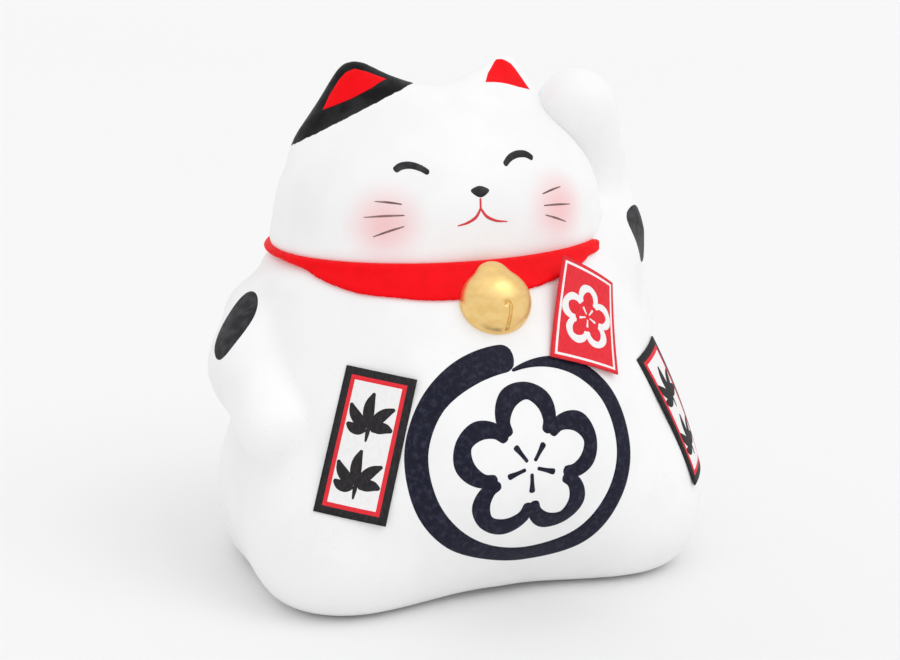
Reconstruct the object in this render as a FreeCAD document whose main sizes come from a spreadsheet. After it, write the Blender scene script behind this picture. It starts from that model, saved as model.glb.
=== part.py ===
import FreeCAD, Part
import Sketcher
import os

# Beckoning cat coin bank: a hollow, hand-painted earthenware figure, sitting upright.
# Millimetres. +Z is up, the cat faces -Y, and its raised arm is on the +X side.
# The origin is the bottom centre of the figure's bounding box.

VECTOR = FreeCAD.Vector
Z_AXIS = VECTOR(0, 0, 1)

doc = FreeCAD.newDocument("BeckoningCat")
sheet = doc.addObject("Spreadsheet::Sheet", "Sizes")

# Level sections of the two hollow castings: height, half width, half depth, centre in y.
TORSO = [
    (0, 54, 44.5, 7.5),
    (3, 60.5, 49.5, 6.5),
    (10, 65, 53.5, 4),
    (24, 69.5, 57, -1),
    (36, 70.5, 57.5, -4.5),
    (50, 66, 54, -5.5),
    (64, 61.5, 50.5, -3),
    (78, 57, 46.5, 1.5),
    (87, 53.5, 43.5, 4.8),
    (92, 49.5, 39.5, 6),
]
HEAD = [
    (92, 45, 33, 5.7),
    (96, 48.4, 35.8, 5.7),
    (102, 49, 36.3, 5.7),
    (110, 47, 34.8, 5.7),
    (118, 42.5, 31.5, 5.7),
    (125, 36, 26.6, 5.7),
    (130, 28.7, 21.2, 5.7),
    (133.5, 21, 15.5, 5.7),
    (136, 10, 7.4, 5.7),
]
# The collar's outer face, level by level, before its slanted lower edge is cut.
COLLAR = [
    (82, 56.5, 46.3, 3),
    (87, 54.5, 44.5, 4.8),
    (92, 51.2, 40.9, 6),
    (95.5, 49.5, 37.2, 5.7),
]
# The ear on the +X side, level by level, with its middle in x as the last number.
EAR = [
    (112, 17, 10.5, 14.3, 24),
    (126, 17, 9, 13.6, 22.5),
    (134, 14.5, 6, 13, 20.8),
    (140, 9.8, 3.6, 12.6, 21.3),
    (144, 3.2, 1.8, 13, 23.4),
]
# Limbs as round sections along a path: x, y, z, radius.
RAISED_ARM = [
    (50.5, 9, 60, 17.5),
    (51.7, 10.5, 76, 16.3),
    (52.5, 12, 90, 14.8),
    (51.4, 12.7, 104, 12.6),
    (49.4, 11.5, 115, 11.4),
    (44.3, 6.5, 128.5, 12.3),
]
RESTING_ARM = [
    (-60.5, -25, 51, 10.2),
    (-59.5, -16, 55.5, 11.4),
    (-57, -7, 61, 12.8),
    (-53, 2, 68, 14),
    (-48, 8, 74, 14.5),
]

SIZES = {
    "wall": 4.5,
    "ear_turn": 30,
    "foot_x": 43.5,
    "foot_y": -30,
    "foot_z": 14.6,
    "foot_half_width": 21.2,
    "foot_half_depth": 22.3,
    "foot_half_height": 17.4,
    "tail_y": 53.2,
    "tail_z": 16,
    "tail_half_width": 14,
    "tail_half_depth": 9,
    "tail_half_height": 11,
    "slot_width": 34,
    "slot_height": 5,
    "slot_z": 74,
    "hole_radius": 17.05,
    "stem_radius": 17,
    "flange_radius": 20,
    "flange_height": 1.5,
    "recess_radius": 22,
    "recess_depth": 3,
    "plug_top": 9,
    "flange_gap": 0.1,
    "collar_slant": 5,
    "collar_edge_z": 89.7,
    "bell_y": -41,
    "bell_z": 86,
    "bell_radius": 10.3,
    "bell_half_depth": 7.5,
    "bell_crown_radius": 3.4,
    "bell_crown_rise": 9.6,
    "bell_slit_width": 1.2,
    "bell_hole_radius": 1.3,
    "label_thickness": 0.4,
}
# Paper labels: centre, turn about Z, lean back, spin in their own plane, width, height.
LABELS = {
    "flank_label_right": ((-41, -47.8, 50.6), -33, 18, 8, 20, 40),
    "chest_label": ((26.3, -40.2, 77.4), 26, 29, 32, 21, 29),
    "flank_label_left": ((55.3, -35, 45.7), 52, 18, -10, 18, 37),
}
COLUMNS = ("z", "half_width", "half_depth", "y", "x")
# How far along a limb's end radius each ring of its dome stands.
DOME_SHARES = (0.5, 0.8, 0.98)


def fill_sheet():
    """Put every driving dimension in the sheet, one alias to a row."""
    rows = dict(SIZES)
    for name, sections in (("torso", TORSO), ("head", HEAD), ("collar", COLLAR), ("ear", EAR)):
        for number, section in enumerate(sections):
            for column, value in zip(COLUMNS, section):
                rows[f"{name}_{number}_{column}"] = value
    for name, sections in (("raised", RAISED_ARM), ("resting", RESTING_ARM)):
        for number, section in enumerate(sections):
            for column, value in zip(("x", "y", "z", "radius"), section):
                rows[f"{name}_{number}_{column}"] = value
    for row, (alias, value) in enumerate(rows.items(), start=1):
        sheet.set(f"A{row}", alias)
        sheet.set(f"B{row}", str(value))
        sheet.setAlias(f"B{row}", alias)
    doc.recompute()


def bind(item, **formulas):
    """Bind properties of an object to sheet formulas; x, y and z move its placement."""
    for key, formula in formulas.items():
        path = f"Placement.Base.{key}" if key in ("x", "y", "z") else key
        item.setExpression(path, formula)
    return item


def add(kind, name, **formulas):
    return bind(doc.addObject(kind, name), **formulas)


def boolean(kind, name, base, tool):
    item = doc.addObject(kind, name)
    item.Base = base
    item.Tool = tool
    return item


def cut(name, base, *tools):
    """Cut the tools from the base, one after another; the last result takes the name."""
    for number, tool in enumerate(tools, start=1):
        step = name if number == len(tools) else f"{name}_step_{number}"
        base = boolean("Part::Cut", step, base, tool)
    return base


def fuse(name, shapes):
    item = doc.addObject("Part::MultiFuse", name)
    item.Shapes = shapes
    return item


def loft(name, sections):
    item = doc.addObject("Part::Loft", name)
    item.Sections = sections
    item.Solid = True
    item.Ruled = False
    return item


def level_loft(name, prefix, numbers, grow="0"):
    """A smooth solid through level ellipses of the sheet, each grown by the same amount."""
    rings = []
    for number in numbers:
        row = f"Sizes.{prefix}_{number}_"
        ring = add(
            "Part::Ellipse",
            f"{name}_ring_{number}",
            MajorRadius=f"{row}half_width + {grow}",
            MinorRadius=f"{row}half_depth + {grow}",
            y=f"{row}y",
            z=f"{row}z",
        )
        rings.append(ring)
    return loft(name, rings)


def ellipsoid(name, half_width, half_depth, half_height, x, y, z):
    item = add(
        "Part::Ellipsoid",
        name,
        Radius1=half_height,
        Radius2=half_width,
        Radius3=half_depth,
        x=x,
        y=y,
        z=z,
    )
    item.Angle1 = -90
    return item


def limb(name, prefix, sections):
    """A limb of round sections square to its path, with a domed end at each end."""
    points = [VECTOR(*section[:3]) for section in sections]
    last = len(points) - 1
    stations = [(0, -share) for share in reversed(DOME_SHARES)]
    stations += [(number, 0) for number in range(len(points))]
    stations += [(last, share) for share in DOME_SHARES]
    rings = []
    for count, (number, share) in enumerate(stations):
        along = points[min(number + 1, last)] - points[max(number - 1, 0)]
        along.normalize()
        row = f"Sizes.{prefix}_{number}_"
        radius = f"{row}radius"
        ring = add(
            "Part::Circle", f"{name}_ring_{count}", Radius=f"{radius} * sqrt(1 - {share ** 2})"
        )
        ring.Placement = FreeCAD.Placement(VECTOR(), FreeCAD.Rotation(Z_AXIS, along))
        bind(
            ring,
            x=f"{row}x + {radius} * ({share * along.x})",
            y=f"{row}y + {radius} * ({share * along.y})",
            z=f"{row}z + {radius} * ({share * along.z})",
        )
        rings.append(ring)
    return loft(f"{name}_solid", rings)


def block(name, width, depth, height, x, y, z):
    """A box centred in x, standing on z and starting at y."""
    return add(
        "Part::Box",
        name,
        Length=width,
        Width=depth,
        Height=height,
        x=f"{x} - ({width}) / 2",
        y=y,
        z=z,
    )


def make_castings():
    """The torso and the head: two hollow castings that meet at the neck."""
    torso_outside = level_loft("torso_outside", "torso", range(len(TORSO)))
    torso_inside = level_loft("torso_inside", "torso", range(2, len(TORSO)), "(-Sizes.wall)")
    hole = add(
        "Part::Cylinder", "base_hole", Radius="Sizes.hole_radius", Height="Sizes.torso_3_z", z="-1"
    )
    recess = add(
        "Part::Cylinder", "base_recess", Radius="Sizes.recess_radius", Height="Sizes.recess_depth"
    )
    slot = block(
        "coin_slot",
        "Sizes.slot_width",
        "Sizes.torso_7_half_depth",
        "Sizes.slot_height",
        "0",
        "Sizes.torso_7_half_depth / 2 + Sizes.torso_7_y",
        "Sizes.slot_z - Sizes.slot_height / 2",
    )
    torso = cut("torso", torso_outside, torso_inside, hole, recess, slot)
    head_outside = level_loft("head_outside", "head", range(len(HEAD)))
    head_inside = level_loft("head_inside", "head", range(len(HEAD) - 2), "(-Sizes.wall)")
    head = cut("head", head_outside, head_inside)
    return torso, head, torso_outside, head_outside


def make_ears(head_outside, raised_outside):
    """Two broad ears on the head's corners, turned outwards, clear of the raised paw."""
    ears = []
    for name, side in (("left_ear", 1), ("right_ear", -1)):
        rings = []
        for number in range(len(EAR)):
            row = f"Sizes.ear_{number}_"
            ring = add(
                "Part::Ellipse",
                f"{name}_ring_{number}",
                MajorRadius=f"{row}half_width",
                MinorRadius=f"{row}half_depth",
            )
            turn = FreeCAD.Rotation(Z_AXIS, side * SIZES["ear_turn"])
            ring.Placement = FreeCAD.Placement(VECTOR(), turn)
            rings.append(bind(ring, x=f"{side} * {row}x", y=f"{row}y", z=f"{row}z"))
        ears.append(cut(name, loft(f"{name}_solid", rings), head_outside, raised_outside))
    return ears


def make_limbs(torso_outside, head_outside, raised):
    """The arms, feet and tail: clay pieces luted to the castings."""
    resting = limb("resting_arm", "resting", RESTING_ARM)
    pieces = [
        cut("raised_arm", raised, torso_outside, head_outside),
        cut("resting_arm", resting, torso_outside),
    ]
    ground = block("ground", "400", "400", "50", "0", "-200", "-50")
    for name, side in (("left_foot", 1), ("right_foot", -1)):
        foot = ellipsoid(
            f"{name}_solid",
            "Sizes.foot_half_width",
            "Sizes.foot_half_depth",
            "Sizes.foot_half_height",
            f"{side} * Sizes.foot_x",
            "Sizes.foot_y",
            "Sizes.foot_z",
        )
        pieces.append(cut(name, foot, torso_outside, ground))
    tail = ellipsoid(
        "tail_solid",
        "Sizes.tail_half_width",
        "Sizes.tail_half_depth",
        "Sizes.tail_half_height",
        "0",
        "Sizes.tail_y",
        "Sizes.tail_z",
    )
    pieces.append(cut("tail", tail, torso_outside))
    return pieces


def make_collar(torso_outside, head_outside, raised_outside):
    """A raised band over the neck joint, deepest in front and narrow behind."""
    band = level_loft("collar_band", "collar", range(len(COLLAR)))
    below = block("below_collar", "160", "160", "40", "0", "-80", "0")
    slant = FreeCAD.Rotation(VECTOR(1, 0, 0), SIZES["collar_slant"])
    below.Placement = FreeCAD.Placement(VECTOR(), slant)
    bind(below, x="-80", y="-80", z="Sizes.collar_edge_z - 40 - 80 * tan(Sizes.collar_slant)")
    return cut("collar", band, torso_outside, head_outside, raised_outside, below)


def make_bell(torso_outside, collar):
    """A pressed clay bell on the collar, with a crown, a slit and a round hole at its end."""
    ball = ellipsoid(
        "bell_ball",
        "Sizes.bell_radius",
        "Sizes.bell_half_depth",
        "Sizes.bell_radius",
        "0",
        "Sizes.bell_y",
        "Sizes.bell_z - 1",
    )
    crown = add(
        "Part::Sphere",
        "bell_crown",
        Radius="Sizes.bell_crown_radius",
        y="Sizes.bell_y",
        z="Sizes.bell_z + Sizes.bell_crown_rise - Sizes.bell_crown_radius",
    )
    slit = block(
        "bell_slit",
        "Sizes.bell_slit_width",
        "4",
        "Sizes.bell_radius",
        "0",
        "Sizes.bell_y - Sizes.bell_half_depth - 1",
        "Sizes.bell_z - 1.4 * Sizes.bell_radius",
    )
    hole = add(
        "Part::Sphere",
        "bell_hole",
        Radius="Sizes.bell_hole_radius",
        y="Sizes.bell_y - Sizes.bell_half_depth + 0.5",
        z="Sizes.bell_z - 0.4 * Sizes.bell_radius",
    )
    solid = fuse("bell_solid", [ball, crown])
    return cut("bell", solid, torso_outside, collar, slit, hole)


def make_labels(torso_outside, collar, feet):
    """Thin paper labels that follow the curve of the torso, trimmed by the collar and the feet."""
    labels = []
    for name, (centre, turn, lean, spin, width, height) in LABELS.items():
        skin = level_loft(f"{name}_skin", "torso", range(2, len(TORSO)), "Sizes.label_thickness")
        depth = 16
        frame = doc.addObject("Part::Box", f"{name}_outline")
        frame.Length = width
        frame.Width = depth
        frame.Height = height
        rotation = FreeCAD.Rotation(Z_AXIS, turn)
        rotation = rotation.multiply(FreeCAD.Rotation(VECTOR(1, 0, 0), -lean))
        rotation = rotation.multiply(FreeCAD.Rotation(VECTOR(0, 1, 0), spin))
        corner = rotation.multVec(VECTOR(-width / 2, -depth / 2, -height / 2))
        frame.Placement = FreeCAD.Placement(VECTOR(*centre) + corner, rotation)
        patch = boolean("Part::Common", f"{name}_patch", skin, frame)
        labels.append(cut(name, patch, torso_outside, collar, *feet))
    return labels


def make_base_plug():
    """A rubber stopper: a flange under the base and a stem in the base hole."""
    body = doc.addObject("PartDesign::Body", "base_plug")
    plane = next(item for item in body.Origin.OriginFeatures if item.Role == "XY_Plane")
    underside = "Sizes.recess_depth - Sizes.flange_gap - Sizes.flange_height"
    steps = (
        ("flange", "Sizes.flange_radius", "Sizes.flange_height"),
        ("stem", "Sizes.stem_radius", f"Sizes.plug_top - ({underside})"),
    )
    for name, radius, height in steps:
        sketch = body.newObject("Sketcher::SketchObject", f"{name}_outline")
        sketch.AttachmentSupport = [(plane, "")]
        sketch.MapMode = "FlatFace"
        sketch.addGeometry(Part.Circle(VECTOR(), Z_AXIS, 1))
        sketch.addConstraint(Sketcher.Constraint("Coincident", 0, 3, -1, 1))
        radius_constraint = sketch.addConstraint(Sketcher.Constraint("Radius", 0, 1))
        sketch.setExpression(f"Constraints[{radius_constraint}]", radius)
        pad = body.newObject("PartDesign::Pad", name)
        pad.Profile = sketch
        pad.setExpression("Length", height)
    bind(body, z=underside)
    return body


def check(item):
    """Stop if an object failed to compute or holds a bad shape."""
    for other in doc.Objects:
        failed = {"Invalid", "Error"} & set(other.State)
        if failed:
            raise RuntimeError(f"{other.Name}: {failed}")
    if item.Shape.isNull() or not item.Shape.isValid() or not item.Shape.Solids:
        raise RuntimeError(f"{item.Label} has no valid solid")


fill_sheet()
torso, head, torso_outside, head_outside = make_castings()
raised_outside = limb("raised_arm", "raised", RAISED_ARM)
collar = make_collar(torso_outside, head_outside, raised_outside)
parts = [torso, head, collar]
parts += make_ears(head_outside, raised_outside)
limbs = make_limbs(torso_outside, head_outside, raised_outside)
feet = [piece for piece in limbs if piece.Label.endswith("foot")]
parts += limbs
parts.append(make_bell(torso_outside, collar))
parts += make_labels(torso_outside, collar, feet)
parts.append(make_base_plug())
doc.recompute()

for part in parts:
    check(part)
os.makedirs("parts", exist_ok=True)
for part in parts:
    part.Shape.exportStep(f"parts/{part.Label}.step")
    size = part.Shape.BoundBox
    print(
        f"{part.Label}: {part.Shape.Volume:.0f} mm3, {len(part.Shape.Solids)} solid(s),"
        f" x {size.XMin:.1f} {size.XMax:.1f} y {size.YMin:.1f} {size.YMax:.1f}"
        f" z {size.ZMin:.1f} {size.ZMax:.1f}"
    )
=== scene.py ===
import math

import bpy
import numpy as np
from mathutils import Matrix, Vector


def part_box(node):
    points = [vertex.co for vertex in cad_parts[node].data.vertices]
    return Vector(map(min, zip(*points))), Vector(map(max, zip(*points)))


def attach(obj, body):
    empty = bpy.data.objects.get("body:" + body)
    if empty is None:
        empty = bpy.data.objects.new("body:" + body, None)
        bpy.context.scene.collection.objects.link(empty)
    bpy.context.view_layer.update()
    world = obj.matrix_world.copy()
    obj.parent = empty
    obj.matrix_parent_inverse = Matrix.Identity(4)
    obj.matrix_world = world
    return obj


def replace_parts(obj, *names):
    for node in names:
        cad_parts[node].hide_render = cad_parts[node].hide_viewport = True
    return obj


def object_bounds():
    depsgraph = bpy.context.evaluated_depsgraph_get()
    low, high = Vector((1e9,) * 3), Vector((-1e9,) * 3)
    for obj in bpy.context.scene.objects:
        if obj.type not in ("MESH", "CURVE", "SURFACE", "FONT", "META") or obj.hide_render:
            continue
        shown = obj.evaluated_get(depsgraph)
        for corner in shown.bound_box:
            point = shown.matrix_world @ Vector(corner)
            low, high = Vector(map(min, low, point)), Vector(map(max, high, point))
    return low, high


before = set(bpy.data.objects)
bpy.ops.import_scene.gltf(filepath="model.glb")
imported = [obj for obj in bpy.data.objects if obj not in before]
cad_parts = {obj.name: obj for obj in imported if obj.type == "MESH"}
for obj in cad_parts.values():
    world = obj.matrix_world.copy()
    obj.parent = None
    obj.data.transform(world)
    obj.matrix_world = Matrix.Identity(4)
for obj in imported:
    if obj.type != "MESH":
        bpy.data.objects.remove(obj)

# Shapes are worked out in millimetres in the row frame, and turned into metres when a mesh is made.
MM = 0.001
CAD_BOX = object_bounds()


def cad_middle(node):
    """The middle of a CAD node's box, in millimetres."""
    low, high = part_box(node)
    return (np.array(low) + np.array(high)) / 2 / MM


def cad_size(node):
    """The size of a CAD node's box, in millimetres."""
    low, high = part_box(node)
    return (np.array(high) - np.array(low)) / MM


# ---------------------------------------------------------------- the clay body

# The castings' half widths, and how far their middles stand back or aside, as (height, value).
TORSO_WIDTHS = [(0, 62.2), (14, 67.1), (32, 70), (52, 65), (70, 59.5), (86, 54), (98, 49.5)]
TORSO_DEPTH_SHARE = 0.82
TORSO_MIDDLES = [(0, 7.6), (45, -5.6), (98, 8.1)]
TORSO_SHIFTS = [(0, 0), (24, 0.7), (45, 2), (62, 1), (80, 0)]
TORSO_TOP = 96
TORSO_BASE_ROUNDING = 6
TORSO_TOP_ROUNDING = 12
HEAD_WIDTHS = [(92, 51.3), (102, 49.3), (114, 47.4), (126, 43.8), (138, 38)]
HEAD_DEPTH_SHARE = 0.74
HEAD_MIDDLE = 5.7
HEAD_BOTTOM = 91
HEAD_TOP = 136.5
HEAD_DOME = 8.6
HEAD_TOP_ROUNDING = 22
HEAD_BASE_ROUNDING = 7
EAR_TIP = (25.2, 14.3, 150)
EAR_TURN = 30
EAR_OUTER_SLOPE = 25.6
EAR_INNER_SLOPE = 58
EAR_FACE_SLOPE = 19.9
EAR_RIDGE = 3
EAR_ROUNDING = 7
EAR_ROOT = 121
WALL = 4.5
FLOOR_TOP = 10
HOLLOW_ROUNDING = 3
EDGE_ROUNDING = 1
SLOT_EDGE_ROUNDING = 1.6
# Brings the rough distance to an ellipse's side below the true one.
SIDE_SCALE = 0.9
DOME_SCALE = 0.93

# Each arm is a chain of (point, radius).
RAISED_ARM = [((50.9, 9.4, 65.5), 17.3), ((52.5, 12, 89.3), 14.9), ((50.6, 13, 110.8), 11.2),
              ((44.2, 7.1, 128.3), 12.3)]
RAISED_ARM_BEND = 4
SHOULDER_MIDDLE = (44, -4.5, 84.5)
SHOULDER_RADII = (13.5, 14.5, 14)
RESTING_ARM = [((-50.2, 7.6, 71.6), 14.7), ((-56.9, -2.2, 62), 13), ((-60, -25, 51), 10)]
RESTING_ARM_BEND = 8
FOOT_MIDDLE = (43.4, -33, 14.7)
FOOT_RADII = (20.2, 18.8, 16.8)
TAIL_MIDDLE = (0, 54.8, 18)
TAIL_RADII = (11, 9.5, 11)

# How wide the clay is rounded where each piece joins the torso.
RAISED_ARM_FILLET = 12
SHOULDER_FILLET = 8
RESTING_ARM_FILLET = 3.5
FOOT_FILLET = 24
TAIL_FILLET = 2.5
BASE_ROUNDING = 4

COIN_SLOT = (34, 5)
COIN_SLOT_HEIGHT = 74
PLUG_HOLE = 17.2
PLUG_RECESS = (22, 3)

COLLAR_PROUD = 1.0
COLLAR_TOP = 94.4
COLLAR_ROUNDING = 1.2
NECK_FILLET = 2
# The collar's lower edge from front to back, as (y, height), and its climb towards the figure's left.
COLLAR_BOTTOM = [(-45, 85.9), (-39, 86.4), (-34, 87.7), (-28, 88.8), (-22, 90.2), (-17, 91.4),
                 (-12, 92.7), (-6, 93.4), (50, 93.4)]
COLLAR_CLIMB = 0.045
COLLAR_CLIMB_REACH = 35
# The collar's least height, as (x, height).
COLLAR_NARROWEST = [(-40, 2.2), (0, 3), (40, 3.2)]


def blend_min(a, b, width):
    """The smaller of two distances, rounded over a width where they cross."""
    h = np.clip(0.5 + 0.5 * (b - a) / width, 0, 1)
    return b * (1 - h) + a * h - width * h * (1 - h)


def blend_max(a, b, width):
    """The larger of two distances, rounded over a width where they cross."""
    return -blend_min(-a, -b, width)


def spline(x, knots):
    """A smooth curve through (x, value) knots, level beyond its ends."""
    places, values = np.array(knots, float).T
    slopes = np.gradient(values, places)
    x = np.clip(x, places[0], places[-1])
    i = np.clip(np.searchsorted(places, x, side="right") - 1, 0, len(places) - 2)
    span = places[i + 1] - places[i]
    t = (x - places[i]) / span
    start = (2 * t**3 - 3 * t**2 + 1) * values[i] + (t**3 - 2 * t**2 + t) * span * slopes[i]
    return start + (3 * t**2 - 2 * t**3) * values[i + 1] + (t**3 - t**2) * span * slopes[i + 1]


def ellipsoid(p, middle, radii):
    """Roughly the distance to an ellipsoid's surface, negative inside."""
    q = (p - np.array(middle, float)) / np.array(radii, float)
    reach = np.sqrt((q**2).sum(1))
    return reach * (reach - 1) / np.maximum(np.sqrt(((q / np.array(radii)) ** 2).sum(1)), 1e-9)


def chain(p, joints, width):
    """Tapered rounded limbs through (point, radius) joints."""
    whole = None
    for (a, radius_a), (b, radius_b) in zip(joints, joints[1:]):
        a, b = np.array(a, float), np.array(b, float)
        t = np.clip((p - a) @ (b - a) / ((b - a) @ (b - a)), 0, 1)
        part = np.sqrt(((p - a - t[:, None] * (b - a)) ** 2).sum(1)) - (radius_a + (radius_b - radius_a) * t)
        whole = part if whole is None else blend_min(whole, part, width)
    return whole


def mirrored(p):
    """The same points, all moved to the figure's left side."""
    return np.column_stack([np.abs(p[:, 0]), p[:, 1], p[:, 2]])


def torso(p):
    """The pear-shaped lower casting without its limbs."""
    x, y, z = p.T
    width = spline(z, TORSO_WIDTHS)
    depth = width * TORSO_DEPTH_SHARE
    x, y = x - spline(z, TORSO_SHIFTS), y - spline(z, TORSO_MIDDLES)
    side = (np.sqrt((x / width) ** 2 + (y / depth) ** 2) - 1) * depth * SIDE_SCALE
    return blend_max(blend_max(side, -z, TORSO_BASE_ROUNDING), z - TORSO_TOP, TORSO_TOP_ROUNDING)


def ears(p):
    """Both ears: wedges with a round ridge, leaning apart."""
    x, y, z = mirrored(p).T
    turn, outer, inner, face = np.radians([EAR_TURN, EAR_OUTER_SLOPE, EAR_INNER_SLOPE, EAR_FACE_SLOPE])
    x, y, z = x - EAR_TIP[0], y - EAR_TIP[1], z - EAR_TIP[2]
    across = x * np.cos(turn) + y * np.sin(turn)
    through = np.sqrt((y * np.cos(turn) - x * np.sin(turn)) ** 2 + EAR_RIDGE**2) - EAR_RIDGE
    outer_edge = across * np.cos(outer) + z * np.sin(outer)
    inner_edge = z * np.sin(inner) - across * np.cos(inner)
    faces = through * np.cos(face) + z * np.sin(face)
    return blend_max(blend_max(outer_edge, inner_edge, EAR_ROUNDING), faces, EAR_ROUNDING)


def head(p):
    """The upper casting: a domed bun with its ears."""
    x, y, z = p.T
    width = spline(z, HEAD_WIDTHS)
    depth = width * HEAD_DEPTH_SHARE
    side = (np.sqrt((x / width) ** 2 + ((y - HEAD_MIDDLE) / depth) ** 2) - 1) * depth * SIDE_SCALE
    widest = HEAD_WIDTHS[1][1]
    fall = (x / widest) ** 2 + ((y - HEAD_MIDDLE) / (widest * HEAD_DEPTH_SHARE)) ** 2
    skull = blend_max(side, DOME_SCALE * (z - HEAD_TOP + HEAD_DOME * fall), HEAD_TOP_ROUNDING)
    skull = blend_max(skull, HEAD_BOTTOM - z, HEAD_BASE_ROUNDING)
    return blend_min(skull, blend_max(ears(p), EAR_ROOT - z, EAR_ROUNDING), EAR_ROUNDING)


def body(p):
    """The lower casting without its hollow: torso, arms, feet and tail as one clay skin."""
    whole = blend_min(torso(p), chain(p, RAISED_ARM, RAISED_ARM_BEND), RAISED_ARM_FILLET)
    whole = blend_min(whole, ellipsoid(p, SHOULDER_MIDDLE, SHOULDER_RADII), SHOULDER_FILLET)
    whole = blend_min(whole, chain(p, RESTING_ARM, RESTING_ARM_BEND), RESTING_ARM_FILLET)
    whole = blend_min(whole, ellipsoid(mirrored(p), FOOT_MIDDLE, FOOT_RADII), FOOT_FILLET)
    whole = blend_min(whole, ellipsoid(p, TAIL_MIDDLE, TAIL_RADII), TAIL_FILLET)
    return blend_max(whole, -p[:, 2], BASE_ROUNDING)


def lower_casting(p):
    """The body with its hollow, coin slot, plug hole and the recess round the hole."""
    x, y, z = p.T
    hollow = blend_max(torso(p) + WALL, FLOOR_TOP - z, HOLLOW_ROUNDING)
    slot = np.hypot(np.maximum(np.abs(x) - (COIN_SLOT[0] - COIN_SLOT[1]) / 2, 0), z - COIN_SLOT_HEIGHT)
    slot = np.maximum(slot - COIN_SLOT[1] / 2, -y)
    from_plug = np.hypot(x - PLUG_MIDDLE[0], y - PLUG_MIDDLE[1])
    hole = np.maximum(from_plug - PLUG_HOLE, z - FLOOR_TOP - WALL)
    recess = np.maximum(from_plug - PLUG_RECESS[0], z - PLUG_RECESS[1])
    clay = blend_max(body(p), -hollow, EDGE_ROUNDING)
    clay = blend_max(clay, -slot, SLOT_EDGE_ROUNDING)
    return blend_max(blend_max(clay, -hole, EDGE_ROUNDING), -recess, EDGE_ROUNDING)


def collar(p):
    """A raised band over the joint of the two castings, lower in front."""
    x, y, z = p.T
    band = blend_min(torso(p), head(p), NECK_FILLET) - COLLAR_PROUD
    climb = COLLAR_CLIMB * np.clip(x, -COLLAR_CLIMB_REACH, COLLAR_CLIMB_REACH)
    edge = np.minimum(spline(y, COLLAR_BOTTOM) + climb, COLLAR_TOP - spline(x, COLLAR_NARROWEST))
    band = blend_max(band, edge - z, COLLAR_ROUNDING)
    return blend_max(band, z - COLLAR_TOP, COLLAR_ROUNDING)


# ---------------------------------------------------------------- meshes

POLISH_ROUNDS = 3
LEAST_SLOPE = 0.001


def surface(field, low, high, step):
    """Quads over a field's zero level: one corner per crossed cell, then moved onto the exact surface."""
    low = np.array(low, float)
    counts = np.ceil((np.array(high) - low) / step).astype(int) + 1
    axes = [low[k] + step * np.arange(counts[k]) for k in range(3)]
    values = np.empty(counts)
    for i, x in enumerate(axes[0]):
        y, z = np.meshgrid(axes[1], axes[2], indexing="ij")
        sheet = np.column_stack([np.full(y.size, x), y.ravel(), z.ravel()])
        values[i] = field(sheet).reshape(y.shape)
    inside = values < 0
    corners = [(i, j, k) for i in (0, 1) for j in (0, 1) for k in (0, 1)]
    filled = np.zeros(counts - 1, dtype=int)
    for i, j, k in corners:
        filled += inside[i:counts[0] - 1 + i, j:counts[1] - 1 + j, k:counts[2] - 1 + k]
    cells = np.argwhere((filled > 0) & (filled < 8))
    number = np.full(counts - 1, -1)
    number[tuple(cells.T)] = np.arange(len(cells))
    total, crossings = np.zeros((len(cells), 3)), np.zeros(len(cells))
    for start in corners:
        for axis in range(3):
            if start[axis]:
                continue
            end = np.array(start) + np.eye(3, dtype=int)[axis]
            here, there = values[tuple((cells + start).T)], values[tuple((cells + end).T)]
            crossed = (here < 0) != (there < 0)
            share = np.where(crossed, here / np.where(crossed, here - there, 1), 0)
            total += (np.array(start) + share[:, None] * np.eye(3)[axis]) * crossed[:, None]
            crossings += crossed
    points = low + step * (cells + total / crossings[:, None])
    quads = []
    for axis in range(3):
        near = np.take(inside, range(counts[axis] - 1), axis)
        far = np.take(inside, range(1, counts[axis]), axis)
        edges = np.argwhere(near != far)
        one, two = np.eye(3, dtype=int)[(axis + 1) % 3], np.eye(3, dtype=int)[(axis + 2) % 3]
        ring = [number[tuple((edges - step_back).T)] for step_back in (one + two, two, 0 * one, one)]
        ring = np.stack(ring, 1)
        leaving = near[tuple(edges.T)]
        quads.append(np.where(leaving[:, None], ring, ring[:, ::-1]))
    for _ in range(POLISH_ROUNDS):
        gradient = slopes(field, points)
        move = field(points) / np.maximum((gradient**2).sum(1), LEAST_SLOPE)
        points = points - np.clip(move, -step, step)[:, None] * gradient
    return points, np.concatenate(quads)


def slopes(field, points, reach=0.05):
    """The field's gradient at each point."""
    steps = np.eye(3) * reach
    return np.stack([(field(points + s) - field(points - s)) / (2 * reach) for s in steps], 1)


def add_mesh(name, points, faces, materials, slot, rides="figure", face_materials=None):
    """A smooth-shaded object from millimetre points, riding on a CAD body."""
    mesh = bpy.data.meshes.new(name)
    mesh.from_pydata((np.asarray(points) * MM).tolist(), [], np.asarray(faces).tolist())
    for material in materials:
        mesh.materials.append(material)
    if face_materials is not None:
        mesh.polygons.foreach_set("material_index", face_materials)
    mesh.shade_smooth()
    made = bpy.data.objects.new(name, mesh)
    bpy.context.scene.collection.objects.link(made)
    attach(made, rides)
    return made


def place(middle, turn=0.0, lean=0.0, spin=0.0):
    """A drawing plane that starts facing the front: its middle and its across, up and outward directions."""
    turn, lean, spin = np.radians([turn, -lean, spin])
    about_z = np.array([[np.cos(turn), -np.sin(turn), 0], [np.sin(turn), np.cos(turn), 0], [0, 0, 1]])
    about_x = np.array([[1, 0, 0], [0, np.cos(lean), -np.sin(lean)], [0, np.sin(lean), np.cos(lean)]])
    about_y = np.array([[np.cos(spin), 0, np.sin(spin)], [0, 1, 0], [-np.sin(spin), 0, np.cos(spin)]])
    turned = about_z @ about_x @ about_y
    return np.array(middle, float), turned[:, 0], turned[:, 2], -turned[:, 1]


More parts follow.
